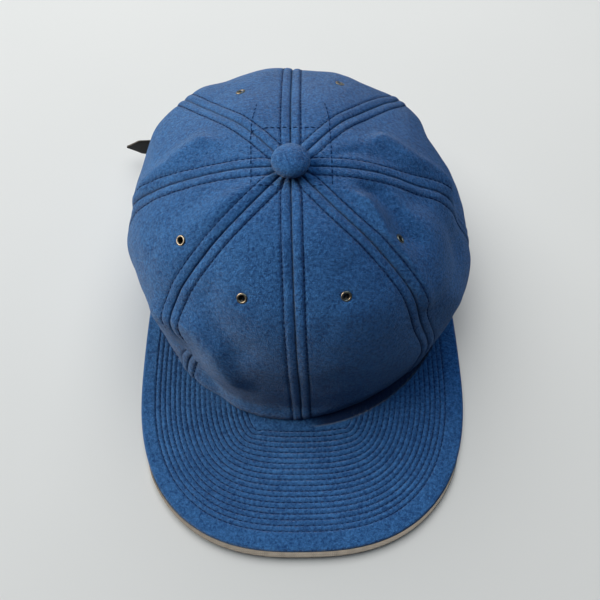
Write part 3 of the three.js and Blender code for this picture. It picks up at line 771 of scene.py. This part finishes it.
# Brim top
# The flat brim's wool face over a stiff board. Nineteen rows of stitching follow its edge, and the cloth
# swells a little between them.
BRIM_HALF_WIDTH = 92.3
BRIM_CORNER = 68.0
FRONT_SHARE = 0.78
OVAL_POWER = 2.55
SIDE_WAIST = 0.012
UNDER_RIM = 6.4
EDGE_TURN = 0.25
EDGE_TURN_FRONT = 2.6
EDGE_GAP = 0.08
BRIM_CLOTH = 1.6
BRIM_ROWS = 19
BRIM_STATIONS = 420
BRIM_STEPS = 190
ROW_STATIONS = 1200
BRIM_ROUND = 1.3
BOARD_LOW = BRIM_CLOTH + 0.3
ROW_SWELL = 0.34
ROW_DEPTH = 0.30
ROW_BELL = 0.42
WAY_TURN = 64.0
CREASE_DEPTH = 2.4


def brim_edge(turn):
    """The outer edge: a rounded oval in front, and behind its corners straight sides that draw in."""
    share = np.minimum(np.abs(turn) / FRONT_SHARE, 1)
    angle = share * math.pi / 2
    back = np.clip((np.abs(turn) - FRONT_SHARE) / (1 - FRONT_SHARE), 0, 1)
    x = BRIM_HALF_WIDTH * np.sin(angle) ** (2 / OVAL_POWER) * (1 - SIDE_WAIST * back * back)
    front = BRIM_CORNER + (BRIM_REACH - BRIM_CORNER) * np.cos(angle) ** (2 / OVAL_POWER)
    y = np.where(back > 0, BRIM_CORNER + (BRIM_END - BRIM_CORNER) * back, front)
    return np.stack([np.sign(turn) * x, -y], -1)


def brim_stations(count):
    """Places evenly spaced along the outer edge, the way straight in from each, how far in its way the
    inner edge is, and the turn of each."""
    turn = np.linspace(-1, 1, 6001)
    edge = brim_edge(turn)
    length = np.concatenate([[0], np.cumsum(np.linalg.norm(np.diff(edge, axis=0), axis=-1))])
    where = np.linspace(0, length[-1], count)
    place = np.stack([np.interp(where, length, edge[:, k]) for k in range(2)], -1)
    after, before = (
        np.stack([np.interp(where + step, length, edge[:, k]) for k in range(2)], -1) for step in (3, -3)
    )
    way = unit(after - before)
    inward = np.stack([-way[:, 1], way[:, 0]], -1)
    size = np.array([RIM_HALF_WIDTH - UNDER_RIM, RIM_FRONT - UNDER_RIM])
    p, d = place / size, inward / size
    a, b, c = (d * d).sum(-1), (p * d).sum(-1), (p * p).sum(-1) - 1
    depth = (-b - np.sqrt(np.maximum(b * b - a * c, 0))) / a
    bent = place + inward * WAY_TURN
    past = np.linalg.norm(bent, axis=-1) * (1 - 1 / np.linalg.norm(bent / size, axis=-1))
    depth = np.where(depth > WAY_TURN, WAY_TURN + past, depth)
    return place, inward, depth, np.interp(where, length, turn)


def way_in(place, inward, inset):
    """The way in from the edge: straight across the rows, and then towards the crown's middle, so that
    no two ways cross."""
    bent = place + inward * np.minimum(inset, WAY_TURN)[..., None]
    return bent - unit(bent) * np.maximum(inset - WAY_TURN, 0)[..., None]


def row_margin(turn):
    """Distance of the outermost row from the edge: wider in front than at the sides."""
    side = smooth_step(np.abs(turn) / FRONT_SHARE)
    return np.where(turn < 0, 12.7 - 4.2 * side, 12.7 - 2.2 * side)


def row_pitch(turn):
    """Distance from row to row."""
    return 2.93 - 0.1 * smooth_step(np.abs(turn) / FRONT_SHARE)


def edge_turn(turn):
    """Width of the grey cloth that shows round the edge, widest in front."""
    front = np.cos(np.minimum(np.abs(turn) / FRONT_SHARE, 1) * math.pi / 2)
    return EDGE_TURN + (EDGE_TURN_FRONT - EDGE_TURN) * front**2


def row_relief(turn, inset):
    """The quilted face: its lift, with a narrow valley at each row and a low swell between them, and how
    strongly each place lies in a valley."""
    count = (inset - row_margin(turn)) / row_pitch(turn)
    nearest = np.clip(np.round(count), 0, BRIM_ROWS - 1)
    away = (count - nearest) * row_pitch(turn)
    valley = np.exp(-((away / ROW_BELL) ** 2))
    swell = np.clip(np.abs(away) / (row_pitch(turn) / 2), 0, 1)
    return ROW_SWELL * np.sin(math.pi / 2 * swell) - ROW_DEPTH * valley, valley


def crown_crease_and_shade(place):
    """How deep a place lies in the crease along the crown's front right, where the cloth dips into the
    seam, from 0 to 1. The same share also darkens the cloth there as painted shade."""
    out = (np.hypot(place[..., 0] / RIM_HALF_WIDTH, place[..., 1] / RIM_FRONT) - 1) * RIM_FRONT
    around = np.arctan2(place[..., 0], -place[..., 1]) * PANEL_COUNT / (2 * math.pi)
    along = smooth_step(around / 0.2) * smooth_step((1.6 - around) / 0.5)
    return along * smooth_step((2.2 - out) / 1.6)


def brim_top_shell():
    """A closed strip round the edge: the quilted face, the rounded outer edge, the flat underside of the
    board and the inner edge under the crown."""
    place, inward, depth, turn = brim_stations(BRIM_STATIONS)
    lip = (edge_turn(turn) + EDGE_GAP)[:, None]
    share = np.linspace(1, 0, BRIM_STEPS)[None, :]
    inset = lip + (depth[:, None] - lip) * share
    lift, valley = row_relief(turn[:, None], inset)
    roll = np.clip(1 - (inset - lip) / BRIM_ROUND, 0, 1)
    z = BRIM_THICKNESS - 0.35 + lift * (1 - roll) - 1.0 * (1 - np.sqrt(1 - roll**2))
    xy = way_in(place[:, None], inward[:, None], inset)
    z = z + 0.10 * softness(np.concatenate([xy, z[..., None] * 0], -1), 7, 30)
    crease_and_shade = crown_crease_and_shade(xy)
    z = z - CREASE_DEPTH * crease_and_shade
    face = np.concatenate([xy, z[..., None]], -1)
    low = np.full(BRIM_STATIONS, BOARD_LOW)
    sides = np.stack([
        np.column_stack([place + inward * lip, low]),
        np.column_stack([way_in(place, inward, depth), low]),
    ], 1)
    points = np.concatenate([face, sides], 1)
    # Painted shade: the cloth is darkened in the rows' valleys and in the crease beside the crown's front
    # right, where the crown's shadow falls.
    groove_shade = np.concatenate([np.maximum(valley * 0.6, crease_and_shade), np.zeros((BRIM_STATIONS, 2))], 1)
    return points, tube_of(BRIM_STATIONS, BRIM_STEPS + 2), groove_shade


points, faces, groove_shade = brim_top_shell()
brim_top = make_piece("wool_brim_top", points, faces, wool, ["brim_top"])
shade_by(brim_top, "groove_shade", groove_shade)


def brim_row(row, z):
    """One row of stitching, where it is outside the crown: even steps along the edge, a set way in."""
    place, inward, depth, turn = brim_stations(ROW_STATIONS)
    inset = row_margin(turn) + row * row_pitch(turn)
    xy = way_in(place, inward, inset)
    clear = np.where(xy[:, 0] > 0, 2.5, -1)
    free = np.hypot(xy[:, 0] / (RIM_HALF_WIDTH + clear), xy[:, 1] / (RIM_FRONT + clear)) > 1
    free &= inset < depth
    return np.column_stack([xy, np.full(len(xy), z)])[free]


brim_runs = []
for row in range(BRIM_ROWS):
    line = brim_row(row, BRIM_THICKNESS - 0.75)
    breaks = np.flatnonzero(np.linalg.norm(np.diff(line, axis=0), axis=-1) > 3) + 1
    for part in np.split(line, breaks):
        out = np.tile([0.0, 0.0, 1.0], (len(part), 1))
        brim_runs.append(stitches_along(part, out))
make_stitches("brim_stitching", brim_runs, 0.22)

# Brim underside
# Plain grey cloth below the board, turned up round the brim's edge so that a narrow band of it shows
# in front.


def grey_cloth_material():
    """A plain weave seen close: two crossing sets of fine ribs, with uneven yarns."""
    material, tree, shader = new_material("grey cloth", {"Roughness": 0.9, "Specular IOR Level": 0.2})
    ribs = []
    for direction in ("X", "Y"):
        wave = node(tree, "ShaderNodeTexWave", Scale=320.0, Distortion=1.2)
        wave.inputs["Detail Scale"].default_value = 2.0
        wave.bands_direction = direction
        ribs.append(wave)
    weave = node(tree, "ShaderNodeMath", operation="ADD")
    tree.links.new(ribs[0].outputs["Fac"], weave.inputs[0])
    tree.links.new(ribs[1].outputs["Fac"], weave.inputs[1])
    uneven = node(tree, "ShaderNodeTexNoise", Scale=260.0, Detail=4.0)
    on_object(tree, *ribs, uneven)
    shade = colour_between(tree, uneven.outputs["Fac"], (0.085, 0.083, 0.075), (0.175, 0.170, 0.155))
    tree.links.new(shade, shader.inputs["Base Color"])
    bump_by(tree, shader, weave.outputs[0], 0.35, 0.0003)
    return material


grey_cloth = grey_cloth_material()
UNDER_STATIONS = 300


def brim_underside_shell():
    """A closed strip round the edge: a flat sheet with the rows pressed into it, whose outer edge turns
    up round the board in front. At the sides it stays below the wool."""
    place, inward, depth, turn = brim_stations(UNDER_STATIONS)
    turned_up = smooth_step((edge_turn(turn) / EDGE_TURN_FRONT - 0.2) / 0.15)[:, None]
    low = BRIM_CLOTH + 0.2
    height = low + (BRIM_THICKNESS - 0.8 - low) * turned_up
    place = place + inward * 0.7 * (1 - turned_up)
    lip = np.maximum(edge_turn(turn), 0.6)
    share = np.linspace(0.02, 1, 120)[None, :]
    inset = 1.0 + (depth[:, None] - 1.0) * share
    lift, _ = row_relief(turn[:, None], inset)
    below = np.concatenate([
        way_in(place[:, None], inward[:, None], inset),
        np.clip(0.25 - 0.4 * lift, 0.05, 0.6)[..., None],
    ], -1)
    bend = np.linspace(0, math.pi / 2, 6)
    flat = np.ones((len(place), 1))
    ring = [np.hstack([place + inward * (1 - np.sin(b)), flat * (1 - np.cos(b))]) for b in bend]
    for b in bend:
        ring.append(np.hstack([place + inward * 0.4 * (1 - np.cos(b)), height - 0.45 + 0.45 * np.sin(b)]))
    ring.append(np.hstack([place + inward * (lip - 0.15)[:, None], height]))
    ring.append(np.hstack([place + inward * lip[:, None], height - 0.15]))
    ring.append(np.hstack([place + inward * lip[:, None], flat * BRIM_CLOTH]))
    ring.append(np.hstack([way_in(place, inward, depth), flat * BRIM_CLOTH]))
    points = np.concatenate([np.stack(ring, 1), below[:, ::-1]], 1)
    return points, [corners[::-1] for corners in tube_of(UNDER_STATIONS, points.shape[1])]


points, faces = brim_underside_shell()
make_piece("cloth_brim_underside", points, faces, grey_cloth, ["brim_underside"])

# Strap and tab
# A narrow strap of smooth black leather, sewn on beside the back opening and led through the buckle. Its
# cut point stands out at the left. The tab beside it is a short end of the same leather.
STRAP_LOW = 6.0
STRAP_WIDTH = 12.5
STRAP_THICKNESS = 1.6
STRAP_LAP = 14.0
STRAP_POINT = 9.0
STRAP_OFF = 3.3
TAB_OFF = 1.4
TAB_REACH = 12.0
TAIL_BACK = 87.0
TAIL_REACH = 114.0
BAND_SIDES = 28
BUCKLE_X = -36.0
BUCKLE_LENGTH = 5.0


def leather_material():
    """Smooth black leather: a fine grain, a low sheen and a few paler rubbed places."""
    material, tree, shader = new_material("black leather", {"Specular IOR Level": 0.25})
    grain = node(tree, "ShaderNodeTexVoronoi", Scale=1400.0)
    clouds = node(tree, "ShaderNodeTexNoise", Scale=160.0, Detail=5.0)
    on_object(tree, grain, clouds)
    shade = colour_between(tree, clouds.outputs["Fac"], (0.002, 0.003, 0.003), (0.008, 0.010, 0.010))
    tree.links.new(shade, shader.inputs["Base Color"])
    roughness_between(tree, shader, clouds.outputs["Fac"], 0.32, 0.55)
    bump_by(tree, shader, grain.outputs["Distance"], 0.25, 0.0002)
    return material


leather = leather_material()


def back_route(xs, off, z):
    """Places round the outside of the crown's back at one height, a set distance off the cloth."""
    around = np.linspace(2.2, 5.8, 1500)
    low, high = np.zeros_like(around), np.full_like(around, 0.5)
    for _ in range(30):
        middle = (low + high) / 2
        under = crown_point(around, middle)[..., 2] < z
        low, high = np.where(under, middle, low), np.where(under, high, middle)
    wrapped = np.where(around > PANEL_COUNT / 2, around - PANEL_COUNT, around)
    wall = crown_point(around, low) + crown_normal(around, low) * puffed_folds(wrapped, low)[..., None]
    way = unit(np.gradient(wall[:, :2], axis=0))
    off_line = wall[:, :2] + np.stack([way[:, 1], -way[:, 0]], -1) * off
    order = np.argsort(wall[:, 0])
    return np.stack([np.interp(xs, wall[order, 0], off_line[order, k]) for k in range(2)], -1)


def strap_route(z):
    """The strap seen from above at one height: along the crown's back, then in one bend out to its tip."""
    along = np.linspace(OPENING_HALF_WIDTH + STRAP_LAP, BUCKLE_X - BUCKLE_LENGTH, 90)
    held = back_route(along, STRAP_OFF, z)
    last = held[-1]
    tip = np.array([-TAIL_REACH, TAIL_BACK])
    reach = np.linalg.norm(tip - last)
    bend = last + unit(held[-1] - held[-2]) * reach * 0.3
    t = np.linspace(0, 1, 61)[1:, None]
    return np.concatenate([held, (1 - t) ** 2 * last + 2 * t * (1 - t) * bend + t * t * tip])


def rounded(value, power):
    """A sine or cosine made squarer by a power, with its sign kept."""
    return np.sign(value) * np.abs(value) ** power


def leather_band(low_route, high_route, narrow):
    """A band on edge between two routes: at each place a section of the leather's thickness with rounded
    edges, whose two edges are drawn together by narrow."""
    size = BAND_SIDES
    turn = np.linspace(0, 2 * math.pi, size, endpoint=False)
    height = rounded(np.sin(turn), 0.35)
    depth = rounded(np.cos(turn), 0.6)
    middle = (low_route + high_route) / 2
    way = unit(np.gradient(middle, axis=0))
    side = np.stack([-way[:, 1], way[:, 0]], -1)
    lean = (high_route - low_route) / 2
    rise = height[None, :] * (1 - narrow[:, None])
    xy = middle[:, None] + lean[:, None] * rise[..., None]
    xy = xy + side[:, None] * (depth * STRAP_THICKNESS / 2)[None, :, None]
    z = STRAP_LOW + STRAP_WIDTH / 2 * (1 + rise)
    points = np.concatenate([xy, z[..., None]], -1)
    return points, tube_of(len(points), size)


STRAP_EDGES = (STRAP_LOW, STRAP_LOW + STRAP_WIDTH)
low_route, high_route = (strap_route(z) for z in STRAP_EDGES)
steps = np.linalg.norm(np.diff((low_route + high_route) / 2, axis=0), axis=-1)
to_tip = np.concatenate([np.cumsum(steps[::-1])[::-1], [0]])
points, faces = leather_band(low_route, high_route, 0.93 * np.clip(1 - to_tip / STRAP_POINT, 0, 1))
make_piece("leather_strap", points, faces, leather, ["strap"])

tab_x = np.linspace(-OPENING_HALF_WIDTH + TAB_REACH, -OPENING_HALF_WIDTH - STRAP_LAP, 40)
tab_low, tab_high = (back_route(tab_x, TAB_OFF, z) for z in STRAP_EDGES)
points, faces = leather_band(tab_low, tab_high, np.zeros(len(tab_x)))
make_piece("leather_strap_tab", points, faces, leather, ["strap_tab"])

# Buckle
# One plain metal loop that holds the strap against its tab.
BUCKLE_WALL = 1.8
BUCKLE_STEPS = 96
BUCKLE_SIDES = 14


def buckle_loop():
    """A rounded rectangle carried round the two leathers: a small oval section along a rounded path."""
    off = (STRAP_OFF + TAB_OFF) / 2
    ends = np.array([BUCKLE_X + BUCKLE_LENGTH / 2, BUCKLE_X - BUCKLE_LENGTH / 2])
    low, high = (back_route(ends, off, z) for z in STRAP_EDGES)
    foot = np.append(low.mean(0), STRAP_LOW)
    head = np.append(high.mean(0), STRAP_LOW + STRAP_WIDTH)
    upward = unit(head - foot)
    across = unit(np.cross(upward, np.append(low[1] - low[0], 0)))
    forward = np.cross(across, upward)
    centre = (foot + head) / 2
    width = (STRAP_OFF - TAB_OFF + STRAP_THICKNESS + 0.6 + BUCKLE_WALL) / 2
    height = (STRAP_WIDTH + 3.0 + BUCKLE_WALL) / 2
    turn = np.linspace(0, 2 * math.pi, BUCKLE_STEPS, endpoint=False)
    path = np.stack([width * rounded(np.cos(turn), 0.3), height * rounded(np.sin(turn), 0.3)], -1)
    way = unit(np.roll(path, -1, 0) - np.roll(path, 1, 0))
    out = np.stack([way[:, 1], -way[:, 0]], -1)
    ring = np.linspace(0, 2 * math.pi, BUCKLE_SIDES, endpoint=False)
    thick = rounded(np.cos(ring), 0.6) * BUCKLE_WALL / 2
    long = rounded(np.sin(ring), 0.6) * BUCKLE_LENGTH / 2
    flat = path[:, None] + out[:, None] * thick[None, :, None]
    points = centre + flat[..., :1] * across + flat[..., 1:] * upward + long[None, :, None] * forward
    faces = quads_of(BUCKLE_STEPS + 1, BUCKLE_SIDES, wrap=True)[:, ::-1] % (BUCKLE_STEPS * BUCKLE_SIDES)
    return points, faces


buckle_metal = aged_metal("buckle metal", (0.16, 0.14, 0.11))
points, faces = buckle_loop()
make_piece("metal_buckle", points, faces, buckle_metal, ["buckle"])

# Table, light and camera
# A pale matt table. A warm window light at the left and a cool sky light fall on the cap alone, a
# broad ceiling light falls on the table, and a weak pale room is round them.


def table_material():
    """Pale matt paint with a barely visible unevenness."""
    material, tree, shader = new_material("pale table", {"Roughness": 0.7})
    clouds = node(tree, "ShaderNodeTexNoise", Scale=9.0, Detail=3.0)
    on_object(tree, clouds)
    shade = colour_between(tree, clouds.outputs["Fac"], (0.69, 0.71, 0.705), (0.72, 0.735, 0.73))
    tree.links.new(shade, shader.inputs["Base Color"])
    return material


table_mesh = bpy.data.meshes.new("table_top")
table_mesh.from_pydata([(-3, -3, 0), (3, -3, 0), (3, 3, 0), (-3, 3, 0)], [], [(0, 1, 2, 3)])
table_mesh.materials.append(table_material())
table_top = bpy.data.objects.new("table_top", table_mesh)
bpy.context.scene.collection.objects.link(table_top)


def soft_light(name, place, size, power, colour):
    """A square area light that faces the cap."""
    light = bpy.data.lights.new(name, "AREA")
    light.size = size
    light.energy = power
    light.color = colour
    lamp = bpy.data.objects.new(name, light)
    bpy.context.scene.collection.objects.link(lamp)
    way = Vector(place) - Vector((0, 0, 0.05))
    lamp.location = place
    lamp.rotation_euler = way.to_track_quat("Z", "Y").to_euler()
    return lamp


def shine_on(lamp, objects):
    """Lets a lamp light these objects alone."""
    lit = bpy.data.collections.new(lamp.name)
    for lit_object in objects:
        lit.objects.link(lit_object)
    lamp.light_linking.receiver_collection = lit


cap_pieces = [o for o in bpy.context.scene.objects if o.type == "MESH" and o is not table_top]
window = soft_light("window_light", (-1.30, 0.30, 1.05), 1.3, 84, (1.0, 0.80, 0.64))
shine_on(window, cap_pieces)
sky = soft_light("sky_light", (0.55, 0.66, 1.5), 1.6, 25, (0.66, 0.86, 1.0))
shine_on(sky, cap_pieces)
ceiling = soft_light("ceiling_light", (-0.32, 0.90, 1.45), 2.8, 61, (1.0, 0.99, 0.975))
shine_on(ceiling, [table_top])
world = bpy.data.worlds.new("pale room")
world.use_nodes = True
world.node_tree.nodes["Background"].inputs["Color"].default_value = (0.55, 0.77, 1.0, 1)
world.node_tree.nodes["Background"].inputs["Strength"].default_value = 0.06
bpy.context.scene.world = world
bpy.context.scene.view_settings.view_transform = "Standard"

camera_data = bpy.data.cameras.new("camera")
camera_data.sensor_width = 36.0
camera_data.lens = 39.0
camera = bpy.data.objects.new("camera", camera_data)
bpy.context.scene.collection.objects.link(camera)
elevation = math.radians(66)
roll = math.radians(-0.8)
forward = np.array([0, math.cos(elevation), -math.sin(elevation)])
right = np.array([1.0, 0, 0])
upward = np.cross(right, forward)
turned_right = math.cos(roll) * right + math.sin(roll) * upward
turned_up = np.cross(turned_right, forward)
target = np.array([-0.35, -20.9, 0]) * MM + cap_middle
seat = target - forward * 0.4
camera.matrix_world = Matrix([
    [*turned_right, 0],
    [*turned_up, 0],
    [*-forward, 0],
    [*seat, 1],
]).transposed()
bpy.context.scene.camera = camera
